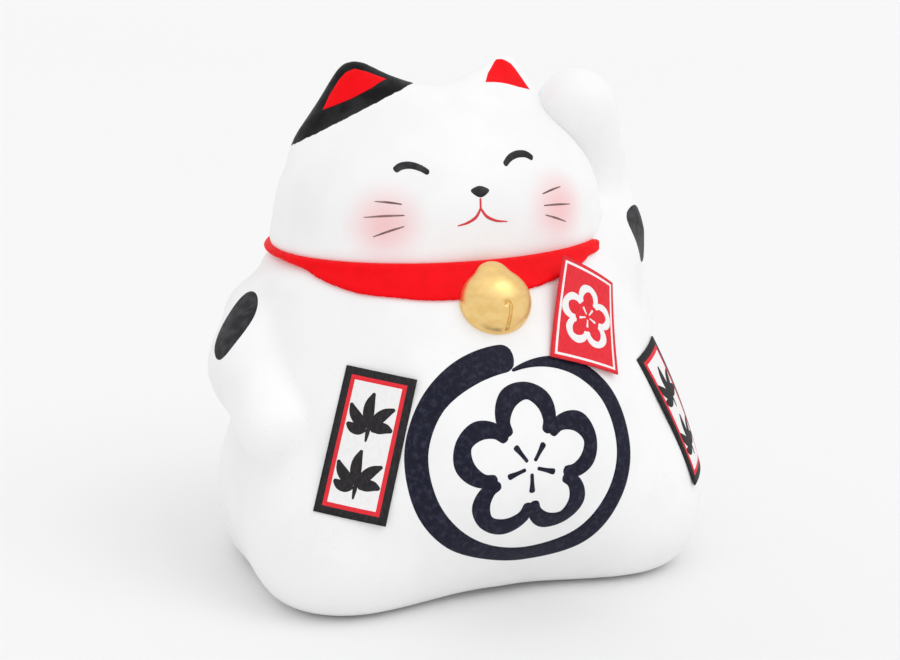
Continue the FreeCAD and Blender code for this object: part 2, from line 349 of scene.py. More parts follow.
# A dropped point starts this far out, and each step goes most of the way to the surface.
DROP_START = 40
DROP_STEPS = 70
DROP_SHARE = 0.85


def drop(field, plane, flat, heights):
    """Moves points drawn on a plane onto the surface behind it, standing out by their heights."""
    middle, across, up, outward = plane
    flat = np.asarray(flat, float)
    p = middle + flat[:, :1] * across + flat[:, 1:] * up + DROP_START * outward
    for _ in range(DROP_STEPS):
        p = p - DROP_SHARE * field(p)[:, None] * outward
    normal = slopes(field, p)
    normal /= np.linalg.norm(normal, axis=1, keepdims=True)
    return p + normal * np.asarray(heights)[:, None]


def laid_on(field, plane):
    """A function that lays flat points with heights on the surface behind a plane."""
    def lay(flat, heights):
        return drop(field, plane, flat, heights)
    return lay


def along(points, spacing, closed=False):
    """Even stations on a smooth curve through points of any number of columns."""
    points = np.array(points, float)
    if closed:
        points = np.vstack([points[-2:], points, points[:3]])
    gaps = np.linalg.norm(np.diff(points[:, :2], axis=0), axis=1)
    places = np.concatenate([[0], np.cumsum(gaps)])
    start, end = (places[2], places[-3]) if closed else (places[0], places[-1])
    count = max(int((end - start) / spacing), 3) + 1
    at = np.linspace(start, end, count)
    return np.stack([spline(at, np.column_stack([places, column])) for column in points.T], 1)


# Shares of a stroke's half width where its points lie, and how deep the edge of a film is sunk.
ACROSS = np.array([-1, -0.93, -0.75, -0.4, 0, 0.4, 0.75, 0.93, 1])
FILM_SINK = 0.08
TIP_WIDTH = 0.05
TIP_HEIGHT = 0.3
THINNEST = 0.01

# How thick each kind of paint lies.
BRUSH_FILM = 0.16
NOSE_FILM = 0.2
MOUTH_FILM = 0.12
WHISKER_FILM = 0.06
BLOSSOM_FILM = 0.14
PRINT_FILM = 0.08


def film_height(share, height):
    """A paint film's height: full in the middle, rounding down into the surface at its edge."""
    return np.where(np.abs(share) > 0.99, -FILM_SINK, height * np.sqrt(np.maximum(1 - share**4, 0)))


def stroke(lay, line, height, spacing):
    """A brush stroke with round ends through (across, up, width) points: its points and quads."""
    path = along(line, spacing)
    travel = np.concatenate([[0], np.cumsum(np.linalg.norm(np.diff(path[:, :2], axis=0), axis=1))])
    left = travel[-1] - travel
    half = path[:, 2] / 2
    caps = []
    for gone, radius in ((travel, half[0]), (left, half[-1])):
        inward = np.clip(1 - gone / max(radius, THINNEST), 0, 1)
        caps.append(np.sqrt(np.maximum(1 - inward**2, TIP_WIDTH**2)))
    half = half * caps[0] * caps[1]
    ahead = np.gradient(path[:, :2], axis=0)
    ahead /= np.linalg.norm(ahead, axis=1, keepdims=True)
    side = np.column_stack([-ahead[:, 1], ahead[:, 0]])
    flat = path[:, None, :2] + side[:, None] * (half[:, None] * ACROSS)[:, :, None]
    ends = np.minimum(1, np.minimum(travel, left) / (spacing / 4) + TIP_HEIGHT)
    heights = film_height(ACROSS, height)[None] * ends[:, None]
    heights[:, [0, -1]] = -FILM_SINK
    heights[[0, -1]] = -FILM_SINK
    rows, columns = heights.shape
    points = lay(flat.reshape(-1, 2), heights.ravel())
    return points, grid_quads(rows, columns)


def grid_quads(rows, columns):
    """Quads between the points of a grid that is numbered row by row."""
    first = (np.arange(rows - 1)[:, None] * columns + np.arange(columns - 1)).ravel()
    return np.stack([first, first + columns, first + columns + 1, first + 1], 1)


# Shares of a patch's size where its rings of points lie.
RINGS = np.array([0.12, 0.35, 0.6, 0.8, 0.92, 0.975, 1.0])


def patch(lay, outline, height, spacing, smooth=True):
    """A filled patch of paint inside an outline: its points and quads."""
    edge = along(outline, spacing, closed=True)[:-1] if smooth else dense(outline, spacing)
    middle = edge.mean(0)
    flat = middle + RINGS[:, None, None] * (edge - middle)
    flat = np.vstack([middle[None], flat.reshape(-1, 2)])
    count = len(edge)
    heights = np.concatenate([[height], np.repeat(film_height(RINGS, height), count)])
    points = lay(flat, heights)
    here = np.arange(count)
    after = (here + 1) % count
    faces = []
    for ring in range(len(RINGS) - 1):
        inner, outer = 1 + ring * count, 1 + (ring + 1) * count
        faces += np.stack([inner + here, outer + here, outer + after, inner + after], 1).tolist()
    faces += np.stack([0 * here, 1 + here, 1 + after], 1).tolist()
    return points, faces


def dense(corners, spacing):
    """Points along the straight sides between corners."""
    corners = np.array(corners, float)
    sides = []
    for a, b in zip(corners, np.roll(corners, -1, 0)):
        count = max(int(np.linalg.norm(b - a) / spacing), 1)
        sides.append(a + (b - a) * np.arange(count)[:, None] / count)
    return np.vstack(sides)


def add_paint(name, parts, made_of, slot="white_glaze"):
    """One object from several strokes and patches of the same paint."""
    points, faces, base = [], [], 0
    for part_points, part_faces in parts:
        points.append(part_points)
        faces += [[base + i for i in face] for face in np.asarray(part_faces, dtype=object).tolist()]
        base += len(part_points)
    return add_mesh(name, np.vstack(points), faces_as_lists(faces), [made_of], slot)


def faces_as_lists(faces):
    """Faces of three or four corners as an array of objects that keeps their lengths."""
    kept = np.empty(len(faces), dtype=object)
    for i, face in enumerate(faces):
        kept[i] = [int(corner) for corner in face]
    return kept


def lathe(profile, segments=96):
    """A closed solid turned about Z from (radius, height) points that start and end on the axis."""
    inner = profile[1:-1]
    angles = np.arange(segments) * 2 * math.pi / segments
    points = [(0, 0, profile[0][1])]
    for radius, height in inner:
        points += [(radius * math.cos(a), radius * math.sin(a), height) for a in angles]
    points.append((0, 0, profile[-1][1]))
    faces = []
    last = len(points) - 1
    top = 1 + (len(inner) - 1) * segments
    for i in range(segments):
        j = (i + 1) % segments
        faces.append([0, 1 + j, 1 + i])
        faces.append([last, top + i, top + j])
        for ring in range(len(inner) - 1):
            low, high = 1 + ring * segments, 1 + (ring + 1) * segments
            faces.append([low + i, low + j, high + j, high + i])
    return np.array(points, float), faces_as_lists(faces)


# ---------------------------------------------------------------- materials

class Paint:
    """A node material with short calls for the nodes that these materials share."""

    def __init__(self, name, roughness, **sockets):
        self.material = bpy.data.materials.new(name)
        self.material.use_nodes = True
        self.tree = self.material.node_tree
        self.shader = self.tree.nodes["Principled BSDF"]
        self.shader.inputs["Roughness"].default_value = roughness
        for socket, value in sockets.items():
            self.shader.inputs[socket.replace("_", " ")].default_value = value
        self.at = self.tree.nodes.new("ShaderNodeTexCoord").outputs["Object"]

    def link(self, source, target):
        """Joins an output socket to an input socket."""
        self.tree.links.new(source, target)

    def noise(self, size, detail=2.0, at=None):
        """Smooth noise whose lumps are about size millimetres."""
        node = self.tree.nodes.new("ShaderNodeTexNoise")
        node.inputs["Scale"].default_value = 1 / (size * MM)
        node.inputs["Detail"].default_value = detail
        self.link(at or self.at, node.inputs["Vector"])
        return node.outputs["Fac"]

    def stretched(self, scale):
        """Object coordinates stretched along the axes."""
        node = self.tree.nodes.new("ShaderNodeMapping")
        node.inputs["Scale"].default_value = scale
        self.link(self.at, node.inputs["Vector"])
        return node.outputs["Vector"]

    def ramp(self, value, low, high, to_low=0.0, to_high=1.0):
        """A value remapped smoothly between limits."""
        node = self.tree.nodes.new("ShaderNodeMapRange")
        node.interpolation_type = "SMOOTHSTEP"
        limits = {"From Min": low, "From Max": high, "To Min": to_low, "To Max": to_high}
        for socket, number in limits.items():
            node.inputs[socket].default_value = number
        self.link(value, node.inputs["Value"])
        return node.outputs["Result"]

    def math(self, operation, a, b=None):
        """One sum on numbers or sockets."""
        node = self.tree.nodes.new("ShaderNodeMath")
        node.operation = operation
        for socket, value in zip(node.inputs, (a, b)):
            if isinstance(value, (int, float)):
                socket.default_value = value
            elif value is not None:
                self.link(value, socket)
        return node.outputs["Value"]

    def mix(self, share, a, b):
        """Two colours mixed by a share; each is three numbers or a socket."""
        node = self.tree.nodes.new("ShaderNodeMix")
        node.data_type = "RGBA"
        self.link(share, node.inputs["Factor"])
        colours = [socket for socket in node.inputs if socket.type == "RGBA"]
        for socket, value in zip(colours, (a, b)):
            if isinstance(value, tuple):
                socket.default_value = (*value, 1)
            else:
                self.link(value, socket)
        return [socket for socket in node.outputs if socket.type == "RGBA"][0]

    def colour(self, value):
        """Drives the surface's colour."""
        self.link(value, self.shader.inputs["Base Color"])

    def rough(self, value):
        """Drives the surface's roughness."""
        self.link(value, self.shader.inputs["Roughness"])

    def bump(self, *layers):
        """Bump from (height socket, depth in millimetres) layers."""
        normal = None
        for height, depth in layers:
            node = self.tree.nodes.new("ShaderNodeBump")
            node.inputs["Distance"].default_value = depth * MM
            self.link(height, node.inputs["Height"])
            if normal:
                self.link(normal, node.inputs["Normal"])
            normal = node.outputs["Normal"]
        self.link(normal, self.shader.inputs["Normal"])


WHITE = (0.93, 0.93, 0.935)
WHITE_SHADE = (0.89, 0.89, 0.892)
SPECK = (0.72, 0.69, 0.64)
INK = (0.010, 0.011, 0.024)
INK_PALE = (0.036, 0.036, 0.06)
RED = (0.93, 0.0008, 0.006)
RED_DARK = (0.86, 0.0006, 0.004)
EAR_BLACK = (0.004, 0.004, 0.005)
# A lighter grey that is mixed into the black ear in mottled patches as painted sheen.
EAR_BLACK_PAINTED_SHEEN = (0.02, 0.02, 0.022)
GOLD = (0.93, 0.66, 0.28)
GOLD_DEEP = (0.88, 0.59, 0.22)
RUBBER = (0.018, 0.018, 0.019)
RUBBER_DUST = (0.045, 0.044, 0.042)
BLUSH = (0.93, 0.36, 0.37)
BLUSH_PLACES = [(-26.5, -24.0, 105.2), (24.5, -24.8, 106.2)]
BLUSH_REACH = 14
BLUSH_STRENGTH = 0.6
CLAY_SHINE = 0.5
PAINT_SHINE = 0.12
# The black ear's edge is where height, less these shares of sideways and backward distance, passes a level.
EAR_TILT = 0.44
EAR_BACK_TILT = 0.27
EAR_EDGE = 140.1
EAR_EDGE_SOFTNESS = 0.12
EAR_EDGE_WOBBLE = 0.9


def white_clay(name):
    """Matt white paint over fired clay, with fine grain and soft sprayed unevenness."""
    paint = Paint(name, 0.5)
    cloud, grain, peel = paint.noise(22, 3), paint.noise(0.35, 4), paint.noise(2.2, 2)
    tone = paint.mix(paint.ramp(cloud, 0.35, 0.7), WHITE, WHITE_SHADE)
    speck = paint.ramp(paint.noise(0.9, 1), 0.73, 0.78)
    paint.colour(paint.mix(paint.math("MULTIPLY", speck, 0.35), tone, SPECK))
    paint.rough(paint.ramp(peel, 0.2, 0.8, 0.42, 0.6))
    paint.bump((peel, 0.05), (grain, 0.02))
    return paint, tone


def head_paint():
    """White clay with the black ear and the blush on the cheeks."""
    paint, tone = white_clay("painted_head")
    split = paint.tree.nodes.new("ShaderNodeSeparateXYZ")
    paint.link(paint.at, split.inputs["Vector"])
    x, y, z = split.outputs
    behind = paint.math("ABSOLUTE", paint.math("SUBTRACT", y, EAR_TIP[1] * MM))
    rise = paint.math("SUBTRACT", z, paint.math("MULTIPLY", x, EAR_TILT))
    rise = paint.math("SUBTRACT", rise, paint.math("MULTIPLY", behind, EAR_BACK_TILT))
    wobble = paint.math("SUBTRACT", paint.noise(2.5, 2), 0.5)
    wobble = paint.math("MULTIPLY", wobble, EAR_EDGE_WOBBLE * MM)
    low, high = (EAR_EDGE - EAR_EDGE_SOFTNESS) * MM, (EAR_EDGE + EAR_EDGE_SOFTNESS) * MM
    edge = paint.ramp(paint.math("ADD", rise, wobble), low, high)
    colour = tone
    for middle in BLUSH_PLACES:
        away = paint.tree.nodes.new("ShaderNodeVectorMath")
        away.operation = "DISTANCE"
        paint.link(paint.at, away.inputs[0])
        away.inputs[1].default_value = tuple(MM * c for c in middle)
        glow = paint.ramp(away.outputs["Value"], 0, BLUSH_REACH * MM, BLUSH_STRENGTH, 0)
        colour = paint.mix(glow, colour, BLUSH)
    # The black ear is mottled with lighter grey patches of painted sheen, spread by noise.
    black = paint.mix(paint.ramp(paint.noise(5, 3), 0.35, 0.75), EAR_BLACK, EAR_BLACK_PAINTED_SHEEN)
    paint.colour(paint.mix(edge, colour, black))
    paint.link(paint.ramp(edge, 0, 1, CLAY_SHINE, PAINT_SHINE), paint.shader.inputs["Specular IOR Level"])
    return paint.material


def ink_paint():
    """Navy-black brushed ink, patchy and slightly glossy."""
    paint = Paint("brushed_ink", 0.5, Specular_IOR_Level=PAINT_SHINE)
    blotch = paint.noise(1.4, 5)
    thin = paint.ramp(blotch, 0.42, 0.8)
    paint.colour(paint.mix(thin, INK, INK_PALE))
    paint.rough(paint.ramp(blotch, 0.3, 0.7, 0.36, 0.58))
    paint.bump((blotch, 0.05), (paint.noise(0.4, 3), 0.02))
    return paint.material


def plain_paint(name, colour, shade, low_rough, high_rough, size=4.0, **sockets):
    """A hand-brushed paint of one colour with a slightly deeper shade in patches."""
    paint = Paint(name, (low_rough + high_rough) / 2, **sockets)
    cloud = paint.noise(size, 3)
    paint.colour(paint.mix(paint.ramp(cloud, 0.35, 0.7), colour, shade))
    paint.rough(paint.ramp(paint.noise(size / 3, 2), 0.3, 0.7, low_rough, high_rough))
    paint.bump((cloud, 0.03), (paint.noise(0.5, 3), 0.02))
    return paint.material


def gold_paint():
    """Bronze-powder gold paint, brushed level, with a fine sparkle in its roughness."""
    paint = Paint("bell_gold_paint", 0.4, Metallic=1.0)
    brushed = paint.noise(2.6, 3, paint.stretched((0.9, 0.9, 1.5)))
    paint.colour(paint.mix(paint.ramp(brushed, 0.35, 0.7), GOLD, GOLD_DEEP))
    paint.rough(paint.ramp(paint.noise(0.5, 3), 0.3, 0.7, 0.32, 0.46))
    paint.bump((brushed, 0.02), (paint.noise(0.35, 3), 0.012))
    return paint.material


def paper(name, colour, shade):
    """Printed paper: faint fibres and a nearly matt face."""
    paint = Paint(name, 0.6, Specular_IOR_Level=PAINT_SHINE)
    fibres = paint.noise(0.7, 4, paint.stretched((1, 1, 0.35)))
    paint.colour(paint.mix(paint.ramp(fibres, 0.35, 0.7), colour, shade))
    paint.rough(paint.ramp(fibres, 0.3, 0.7, 0.52, 0.7))
    paint.bump((fibres, 0.02))
    return paint.material


def rubber():
    """Dark moulded rubber with a dusty, matt skin."""
    paint = Paint("moulded_rubber", 0.75)
    dust, grain = paint.noise(6, 3), paint.noise(0.5, 3)
    paint.colour(paint.mix(paint.ramp(dust, 0.4, 0.75), RUBBER, RUBBER_DUST))
    paint.rough(paint.ramp(dust, 0.3, 0.7, 0.68, 0.85))
    paint.bump((grain, 0.05))
    return paint.material


# ---------------------------------------------------------------- the pieces

PLUG_MIDDLE = cad_middle("base_plug")
# Sizes of the cells that each surface is made from, margins round the CAD boxes, and the head's own limits.
TORSO_CELL = 1.35
HEAD_CELL = 1.1
COLLAR_CELL = 0.65
BELL_CELL = 0.45
CASTING_MARGIN = 5
COLLAR_MARGIN = 9
HEAD_SIDE = 56
HEAD_FRONT_BACK = (-40, 50)


def make_castings(clay, painted):
    """The two slip-cast pieces: the torso with its limbs, and the head with its ears."""
    low = np.array(CAD_BOX[0]) / MM - CASTING_MARGIN
    high = np.array(CAD_BOX[1]) / MM + CASTING_MARGIN
    made = add_mesh("torso_casting", *surface(lower_casting, low, high, TORSO_CELL), [clay], "white_glaze")
    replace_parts(made, "torso", "raised_arm", "resting_arm", "left_foot", "right_foot", "tail")
    low = (-HEAD_SIDE, HEAD_FRONT_BACK[0], HEAD_BOTTOM - 4)
    high = (HEAD_SIDE, HEAD_FRONT_BACK[1], high[2])
    made = add_mesh("head_casting", *surface(head, low, high, HEAD_CELL), [painted], "white_glaze")
    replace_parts(made, "head", "left_ear", "right_ear")


def make_collar(red):
    """The raised red band over the neck joint."""
    low = np.array(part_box("collar")[0]) / MM - COLLAR_MARGIN
    high = np.array(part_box("collar")[1]) / MM + COLLAR_MARGIN
    made = add_mesh("collar_band", *surface(collar, low, high, COLLAR_CELL), [red], "collar_red")
    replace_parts(made, "collar")


BELL_PLACE = (-0.6, -40.6, 85)
BELL_LEAN = 20
BELL_SPIN = 4
# The bell's parts, about its middle, as across, out of the front, and up.
BELL_RADII = (cad_size("bell")[0] / 2 - 0.1, 7.4, 9.4)
BELL_LIFT = -0.4
BELL_CROWN = (-0.4, -0.6, 8.2)
BELL_CROWN_RADII = (3.9, 3.2, 2.8)
BELL_BOX = ((-13, -10, -12), (13, 10, 14))
SLIT_TOP = -1.6
SLIT_END = -8.5
SLIT_SIDE = 1.6
SLIT_HALF = 0.4
SLIT_DEPTH = 0.8
HOOK_SIDE = 0.9
HOOK_RADIUS = 0.75
HOOK_HALF = 0.3


def bell_field(p):
    """A pressed bell with a crown on top and a hooked slit in front."""
    across, out, up = p.T
    crown = ellipsoid(p, BELL_CROWN, BELL_CROWN_RADII)
    shell = blend_min(ellipsoid(p, (0, 0, BELL_LIFT), BELL_RADII), crown, 2.4)
    bend = 0.25 * np.sin((up + 6) * 0.5)
    slit = np.maximum(up - SLIT_TOP, SLIT_END - up)
    slit = np.maximum(np.abs(across - SLIT_SIDE - bend) - SLIT_HALF, slit)
    hook = np.abs(np.hypot(across - HOOK_SIDE, up - SLIT_TOP) - HOOK_RADIUS) - HOOK_HALF
    hook = np.maximum(hook, SLIT_TOP - 0.2 - up)
    groove = np.maximum(np.minimum(slit, hook), np.maximum(-(shell + SLIT_DEPTH), -out))
    return blend_max(shell, -groove, 0.5)


def make_bell(gold):
    """The bell, leaning with the chest."""
    middle, across, up, outward = place(BELL_PLACE, 0, BELL_LEAN, BELL_SPIN)
    points, faces = surface(bell_field, *BELL_BOX, BELL_CELL)
    placed = middle + points[:, :1] * across + points[:, 1:2] * outward + points[:, 2:] * up
    faces = np.asarray(faces)[:, ::-1]
    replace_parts(add_mesh("gilt_bell", placed, faces, [gold], "bell_gold"), "bell")


LABEL_THICKNESS = 0.5
LABEL_CLEARANCE = 0.3
LABEL_GRID = 1.2
LABEL_SAMPLES = (13, 19)


def stiff_sheet(plane, width, height):
    """A function that lays flat points on stiff paper, which bends in one smooth curve over the skin."""
    middle, across, up, outward = plane

    def terms(flat):
        u, v = flat.T
        return np.column_stack([np.ones(len(flat)), u, v, u * u, u * v, v * v])

    columns = np.linspace(-width / 2, width / 2, LABEL_SAMPLES[0])
    u, v = np.meshgrid(columns, np.linspace(-height / 2, height / 2, LABEL_SAMPLES[1]))
    samples = np.column_stack([u.ravel(), v.ravel()])
    depth = (drop(paper_bed, plane, samples, np.zeros(len(samples))) - middle) @ outward
    bend = np.linalg.lstsq(terms(samples), depth, rcond=None)[0]
    clear = (depth - terms(samples) @ bend).max() + LABEL_CLEARANCE

    def lay(flat, heights):
        flat = np.asarray(flat, float)
        out = terms(flat) @ bend + clear + np.asarray(heights)
        return middle + flat[:, :1] * across + flat[:, 1:] * up + out[:, None] * outward
    return lay


def make_label(node, middle, turn, lean, spin, width, height, borders, materials):
    """Paper stuck on the skin: nested borders as (width, material number) and the last material inside."""
    lay = stiff_sheet(place(middle, turn, lean, spin), width, height)
    insets = np.concatenate([[0], np.cumsum([border[0] for border in borders])])
    grids = []
    for size in (width, height):
        inner = size / 2 - insets[-1]
        middle_lines = np.linspace(-inner, inner, int(2 * inner / LABEL_GRID) + 2)[1:-1]
        edge_lines = size / 2 - insets
        grids.append(np.concatenate([-edge_lines, middle_lines, edge_lines[::-1]]))
    across, up = np.meshgrid(*grids, indexing="ij")
    rows, columns = across.shape
    flat = np.column_stack([across.ravel(), up.ravel()])
    count = len(flat)
    sheet = np.vstack([lay(flat, np.zeros(count)), lay(flat, np.full(count, -LABEL_THICKNESS))])
    front = grid_quads(rows, columns)
    from_edge = np.minimum(width / 2 - np.abs(across), height / 2 - np.abs(up)).ravel()[front].mean(1)
    kinds = [border[1] for border in borders] + [len(materials) - 1]
    steps = np.minimum(np.searchsorted(insets, from_edge, side="right") - 1, len(borders))
    numbers = [kinds[step] for step in steps]
    rim = np.concatenate([
        np.arange(rows) * columns,
        (rows - 1) * columns + np.arange(1, columns),
        np.arange(rows - 2, -1, -1) * columns + columns - 1,
        np.arange(columns - 2, 0, -1),
    ])
    after = np.roll(rim, -1)
    sides = np.stack([rim + count, after + count, after, rim], 1)
    faces = np.vstack([front, front[:, ::-1] + count, sides])
    numbers += [kinds[0]] * (len(front) + len(sides))
    made = add_mesh(node + "_paper", sheet, faces, materials, "label_paper", face_materials=numbers)
    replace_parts(made, node)
    return lay


PAPER_BRIDGE = 10


def paper_bed(p):
    """The skin as a paper label meets it, with its sharpest hollows bridged."""
    return blend_min(body(p), collar(p), PAPER_BRIDGE)


# Shares of a motif's size: leaves as (heading, length), leaf strokes as (way along, bow, width), stems as
# (rise, width), petals as (turn, width) and stamens as (way out, width). Headings and turns are in degrees.
LEAVES = ((172, 0.52), (135, 0.72), (92, 0.82), (48, 0.74), (6, 0.54))
LEAF_PROFILE = ((0.06, 0, 0.08), (0.35, 0.05, 0.25), (0.65, 0.06, 0.24), (1.0, 0, 0.05))
STEM_PROFILE = ((-0.28, 0.04), (0, 0.1), (0.1, 0.08))
PETAL_OUT = 0.62
PETAL_RADIUS = 0.33
PETAL_PROFILE = ((-133, 0.13), (-100, 0.2), (-60, 0.25), (-10, 0.22), (40, 0.27), (95, 0.2), (130, 0.13))
STAMEN_PROFILE = ((0.08, 0.05), (0.22, 0.06), (0.36, 0.1))


def leaf_sprig(lay, up, size):
    """Five tapering brush leaves that fan from one point, over a short stem."""
    stem = [(0, up + rise * size, width * size) for rise, width in STEM_PROFILE]
    parts = [stroke(lay, stem, PRINT_FILM, 0.4)]
    for heading, length in LEAVES:
        a = math.radians(heading)
        ahead = np.array([math.cos(a), math.sin(a)])
        side = np.array([-ahead[1], ahead[0]])
        line = []
        for share, bow, width in LEAF_PROFILE:
            at = np.array([0, up]) + size * length * share * ahead + size * bow * side
            line.append((*at, width * size))
        parts.append(stroke(lay, line, PRINT_FILM, 0.4))
    return parts


def blossom(lay, across, up, size, height, spacing):
    """Five brushed petals round a middle with five stamens."""
    parts = []
    for petal in range(5):
        heading = math.radians(90 + 72 * petal)
        line = []
        for turn, width in PETAL_PROFILE:
            a = heading + math.radians(turn)
            x = across + size * (PETAL_OUT * math.cos(heading) + PETAL_RADIUS * math.cos(a))
            y = up + size * (PETAL_OUT * math.sin(heading) + PETAL_RADIUS * math.sin(a))
            line.append((x, y, width * size))
        parts.append(stroke(lay, line, height, spacing))
        between = heading + math.radians(36)
        ahead = size * np.array([math.cos(between), math.sin(between)])
        line = []
        for out, width in STAMEN_PROFILE:
            line.append((across + out * ahead[0], up + out * ahead[1], size * width))
        parts.append(stroke(lay, line, height, spacing / 2))
    return parts


RING_MIDDLE = (1.5, 44)
# The brushed ring as (angle, radius, width): a heavy start over the top, thinning once round to its tip.
RING = [(90, 27.2, 6.7), (100, 27.4, 7.2), (120, 28.2, 7.4), (145, 29.6, 6.3), (170, 30.2, 6.1),
        (200, 29.7, 6.8), (225, 28.5, 6.4), (250, 27.9, 5.2), (275, 28.6, 5.2), (305, 30.6, 6.2),
        (335, 30.0, 5.6), (360, 30.6, 5.1), (390, 30.5, 4.6), (410, 29.0, 4.0), (430, 26.8, 2.7),
        (446, 24.9, 1.4), (454, 24.0, 0.7)]
BELLY_BLOSSOM = (2.0, -0.5, 20.5)


def make_belly_paint(ink):
    """The brushed ring and the blossom inside it."""
    lay = laid_on(body, place((0, -60, RING_MIDDLE[1])))
    line = []
    for angle, radius, width in RING:
        a = math.radians(angle)
        line.append((RING_MIDDLE[0] + radius * math.cos(a), radius * math.sin(a), width))
    add_paint("belly_ring", [stroke(lay, line, BRUSH_FILM, 0.7)], ink)
    add_paint("belly_blossom", blossom(lay, *BELLY_BLOSSOM, BLOSSOM_FILM, 0.6), ink)


# Face paint as (across, height), with a width where it is a stroke.
# Each ear's red is drawn about its own middle.
NOSE = [(-3.2, 113.6), (-0.5, 114.7), (2.3, 113.4), (-0.5, 111.6)]
EYES = [[(-22.9, 119.0, 1.5), (-20.9, 120.2, 1.8), (-18.4, 120.5, 1.9), (-16.0, 119.8, 1.8),
         (-13.8, 118.4, 1.6)],
        [(8.0, 119.3, 1.5), (10.2, 121.0, 1.8), (13.4, 121.8, 1.9), (16.0, 121.4, 1.8), (18.0, 120.1, 1.5)]]
MOUTH = [[(-0.6, 111.6, 0.6), (-0.7, 109.9, 0.6), (-0.8, 108.2, 0.7)],
         [(-0.7, 108.8, 0.6), (-2.3, 106.4, 0.85), (-4.6, 105.1, 0.75), (-7.8, 104.3, 0.3)],
         [(-0.8, 108.8, 0.6), (0.8, 106.5, 0.85), (3.2, 105.2, 0.75), (7.3, 104.5, 0.3)]]
WHISKERS = [((-21.8, 110.5), (-29.2, 111.2)), ((-21.4, 107.6), (-32.2, 106.8)),
            ((-21.6, 104.7), (-30.2, 101.5)), ((18.9, 110.7), (26.4, 111.9)),
            ((19.1, 107.6), (29.6, 106.5)), ((19.5, 105.0), (27.6, 101.8))]
WHISKER_WIDTHS = (0.35, 0.62, 0.22)
WHISKER_BOW = 0.15
LEFT_EAR_RED = [(-8.9, -1.7), (-6.9, 0.1), (-5.1, 1.8), (-2.7, 3.5), (-0.5, 5.2), (0.9, 6.1), (2.3, 5.5),
                (4.2, 3.4), (6.1, -0.4), (8.4, -5.2), (3.0, -4.5), (-3.0, -3.2)]
RIGHT_EAR_RED = [(-8.8, -6.2), (-7.4, -1.4), (-5.2, 2.8), (-3.2, 5.4), (-0.8, 6.7), (3.3, 6.0), (8.6, 4.6),
                 (5.2, 0.7), (-0.4, -2.8), (-5.3, -5.0)]


def make_face_paint(black, mouth_red, brown):
    """Nose, closed eyes, mouth and whiskers."""
    lay = laid_on(head, place((0, -30, 0)))
    add_paint("nose", [patch(lay, NOSE, NOSE_FILM, 0.35)], black)
    add_paint("closed_eyes", [stroke(lay, eye, BRUSH_FILM, 0.35) for eye in EYES], black)
    add_paint("mouth", [stroke(lay, line, MOUTH_FILM, 0.3) for line in MOUTH], mouth_red)
    strokes = []
    for root, tip in WHISKERS:
        halfway = ((root[0] + tip[0]) / 2, (root[1] + tip[1]) / 2 + WHISKER_BOW)
        line = [(*at, width) for at, width in zip((root, halfway, tip), WHISKER_WIDTHS)]
        strokes.append(stroke(lay, line, WHISKER_FILM, 0.5))
    add_paint("whiskers", strokes, brown)


def make_ear_paint(red):
    """The red inside each ear."""
    parts = []
    for middle, turn, lean, outline in (
        ((-25.2, 6.3, 137.8), -32, 32, RIGHT_EAR_RED),
        ((20.7, 5.9, 140.1), 22, 42, LEFT_EAR_RED),
    ):
        lay = laid_on(head, place(middle, turn, lean))
        parts.append(patch(lay, outline, BRUSH_FILM, 0.5, smooth=False))
    add_paint("ear_reds", parts, red, "ear_paint")


def oval(width, height, spin, count=24):
    """An outline of an ellipse turned by spin degrees."""
    angles = np.arange(count) * 2 * math.pi / count
    x, y = width / 2 * np.cos(angles), height / 2 * np.sin(angles)
    s = math.radians(spin)
    return [(a * math.cos(s) - b * math.sin(s), a * math.sin(s) + b * math.cos(s)) for a, b in zip(x, y)]


def make_spots(black):
    """The black patches on the resting arm's shoulder and on the raised arm."""
    shoulder = laid_on(body, place((-64.9, -3.3, 75.6), -74, 44))
    arm = laid_on(body, place((63.4, -0.2, 91), 60, 15))
    outlines = ((shoulder, oval(10.8, 23, 14)), (arm, oval(19.5, 17.5, 10)))
    parts = [patch(lay, outline, BRUSH_FILM, 0.8) for lay, outline in outlines]
    add_paint("black_spots", parts, black)


PLUG_STEM = 16.7
PLUG_BEAD = 17.0
PLUG_FLANGE_THICKNESS = 1.5


def make_plug(material):
    """A moulded stopper: a flange with a grip ring, and a beaded stem that is dished on top."""
    low = float(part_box("base_plug")[0][2]) / MM
    high = float(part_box("base_plug")[1][2]) / MM
    flange = cad_size("base_plug")[0] / 2
    rim = low + PLUG_FLANGE_THICKNESS
    grip = [(0, low + 0.9), (5.2, low + 0.9), (5.8, low + 0.3), (7.4, low + 0.3), (8.0, low + 0.9),
            (9.4, low + 0.9), (10.2, low)]
    edge = [(flange - 0.6, low), (flange - 0.1, low + 0.35), (flange, rim - 0.4), (flange - 0.3, rim)]
    stem = [(PLUG_STEM, rim + 0.1), (PLUG_STEM, rim + 1.0), (PLUG_BEAD, rim + 1.5), (PLUG_BEAD, rim + 2.6),
            (PLUG_STEM, rim + 3.1), (PLUG_STEM - 0.1, high - 1.3)]
    top = [(PLUG_STEM - 0.6, high - 0.3), (PLUG_STEM - 1.6, high), (PLUG_STEM - 3.5, high),
           (PLUG_STEM - 4.5, high - 1.2), (0, high - 1.2)]
    points, faces = lathe(grip + edge + stem + top)
    points[:, :2] += PLUG_MIDDLE[:2]
    made = add_mesh("rubber_plug", points, faces, [material], "plug_rubber", "plug")
    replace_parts(made, "base_plug")


# ---------------------------------------------------------------- stage

CAMERA_SIDE = -20
CAMERA_RISE = 14.5
CAMERA_AWAY = 564
CAMERA_TARGET = np.array([0, 14, 70.0])
CAMERA_OFF_MIDDLE = (6.3, -6.9)
CAMERA_LENS = 74.8
CAMERA_SENSOR = 36
CAMERA_FAR = 50
FLOOR_REACH = 6.0
FLOOR_DROP = 0.0002
FLOOR_WHITE = (0.9, 0.9, 0.9)
FLOOR_SHADE = (0.88, 0.88, 0.885)
SKY_STRENGTH = 0.88
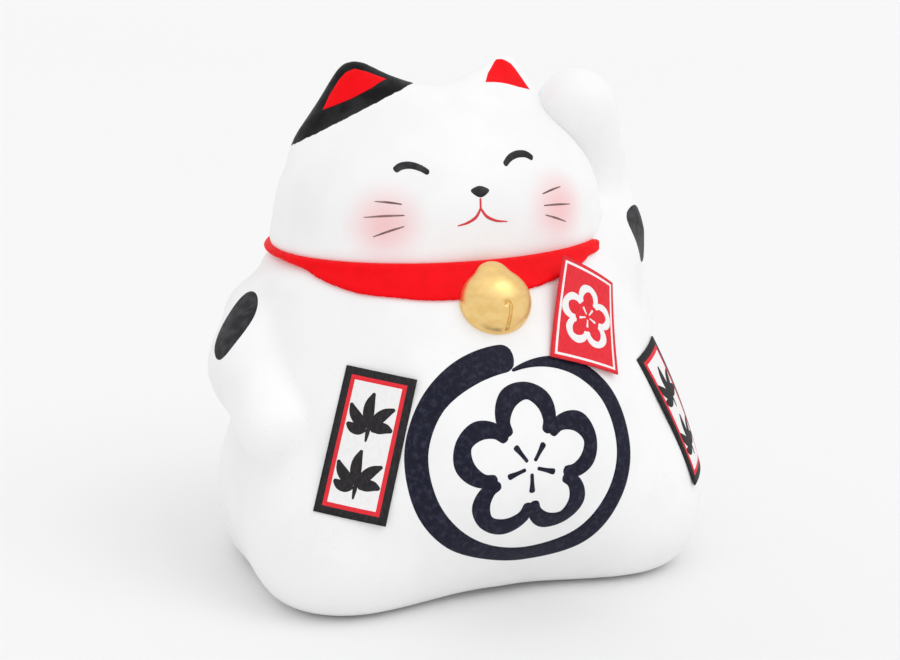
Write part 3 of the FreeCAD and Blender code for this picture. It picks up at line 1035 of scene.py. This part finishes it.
# Each sun as name, direction, spread in degrees and strength.
SUNS = [("key", (-0.55, 0.65, -1.1), 40, 0.5), ("top", (0.2, 0.1, -1), 60, 0.15)]


def make_stage():
    """A pale floor, white surroundings and two wide soft suns."""
    paint = Paint("studio_floor", 0.9)
    paint.colour(paint.mix(paint.noise(900, 2), FLOOR_WHITE, FLOOR_SHADE))
    mesh = bpy.data.meshes.new("studio_floor")
    sides = ((-1, -1), (1, -1), (1, 1), (-1, 1))
    corners = [(x * FLOOR_REACH, y * FLOOR_REACH, -FLOOR_DROP) for x, y in sides]
    mesh.from_pydata(corners, [], [(0, 1, 2, 3)])
    mesh.materials.append(paint.material)
    floor = bpy.data.objects.new("studio_floor", mesh)
    bpy.context.scene.collection.objects.link(floor)

    world = bpy.data.worlds.new("studio")
    world.use_nodes = True
    world.node_tree.nodes["Background"].inputs["Color"].default_value = (1, 1, 1, 1)
    world.node_tree.nodes["Background"].inputs["Strength"].default_value = SKY_STRENGTH
    bpy.context.scene.world = world
    for name, towards, spread, strength in SUNS:
        light = bpy.data.objects.new(name, bpy.data.lights.new(name, "SUN"))
        light.data.angle = math.radians(spread)
        light.data.energy = strength
        light.rotation_euler = Vector(towards).to_track_quat("-Z", "Y").to_euler()
        bpy.context.scene.collection.objects.link(light)


def make_camera():
    """The camera, to the figure's right and a little above it, and the plain view transform."""
    side, rise = math.radians(CAMERA_SIDE), math.radians(CAMERA_RISE)
    ahead = np.array([-math.sin(side) * math.cos(rise), math.cos(side) * math.cos(rise), -math.sin(rise)])
    right = np.array([math.cos(side), math.sin(side), 0])
    up = np.cross(right, ahead)
    at = CAMERA_TARGET - CAMERA_AWAY * ahead
    aim = CAMERA_TARGET + CAMERA_OFF_MIDDLE[0] * right + CAMERA_OFF_MIDDLE[1] * up
    camera = bpy.data.objects.new("camera", bpy.data.cameras.new("camera"))
    camera.data.lens = CAMERA_LENS
    camera.data.sensor_width = CAMERA_SENSOR
    camera.data.clip_end = CAMERA_FAR
    camera.location = at * MM
    camera.rotation_euler = Vector(aim - at).to_track_quat("-Z", "Y").to_euler()
    bpy.context.scene.collection.objects.link(camera)
    bpy.context.scene.camera = camera
    bpy.context.scene.view_settings.view_transform = "Standard"


clay = white_clay("white_clay")[0].material
ink = ink_paint()
black = plain_paint("black_paint", (0.02, 0.02, 0.022), (0.05, 0.05, 0.055), 0.45, 0.62, size=3.0,
                    Specular_IOR_Level=0.15)
red = plain_paint("red_paint", RED, RED_DARK, 0.42, 0.56, Specular_IOR_Level=0.1)
mouth_red = plain_paint("mouth_red", (0.68, 0.035, 0.04), (0.6, 0.03, 0.035), 0.45, 0.6)
brown = plain_paint("whisker_brown", (0.16, 0.085, 0.085), (0.3, 0.17, 0.17), 0.5, 0.6)
print_black = paper("print_black", (0.02, 0.018, 0.02), (0.035, 0.033, 0.035))
print_red = paper("print_red", (0.82, 0.035, 0.05), (0.74, 0.03, 0.042))
print_white = paper("print_white", (0.9, 0.89, 0.89), (0.86, 0.85, 0.85))
make_castings(clay, head_paint())
make_collar(red)
make_bell(gold_paint())
make_belly_paint(ink)
make_face_paint(black, mouth_red, brown)
make_ear_paint(red)
make_spots(black)

# Each label's middle, turn, lean, spin, width and height, with its borders from the edge inwards.
FLANK_BORDERS = [(2.1, 0), (1.2, 1)]
FLANK_PAPERS = [print_black, print_red, print_white]
CHEST_BORDERS = [(1.0, 0), (0.7, 1)]
CHEST_PAPERS = [print_red, print_white, print_red]
right_label = ((-41, -47.8, 50.6), -33, 18, 8, 20, 40)
chest_label = ((25.8, -40.2, 77.4), 26, 29, 29, 22, 29)
left_label = ((55.1, -35, 45.3), 50, 18, -6.5, 18.6, 41)
on_right = make_label("flank_label_right", *right_label, FLANK_BORDERS, FLANK_PAPERS)
on_chest = make_label("chest_label", *chest_label, CHEST_BORDERS, CHEST_PAPERS)
on_left = make_label("flank_label_left", *left_label, FLANK_BORDERS, FLANK_PAPERS)

# The heights of a flank label's two sprigs and their size, then the chest blossom's place and size.
SPRIG_HEIGHTS = (4.2, -11.4)
SPRIG_SIZE = 12.5
PRINTED_BLOSSOM = (0, -0.2, 8.9)
for name, lay in (("right", on_right), ("left", on_left)):
    sprigs = [part for up in SPRIG_HEIGHTS for part in leaf_sprig(lay, up, SPRIG_SIZE)]
    add_paint("leaf_print_" + name, sprigs, print_black, "label_paper")
add_paint("blossom_print", blossom(on_chest, *PRINTED_BLOSSOM, PRINT_FILM, 0.35), print_white, "label_paper")
make_plug(rubber())
make_stage()
make_camera()
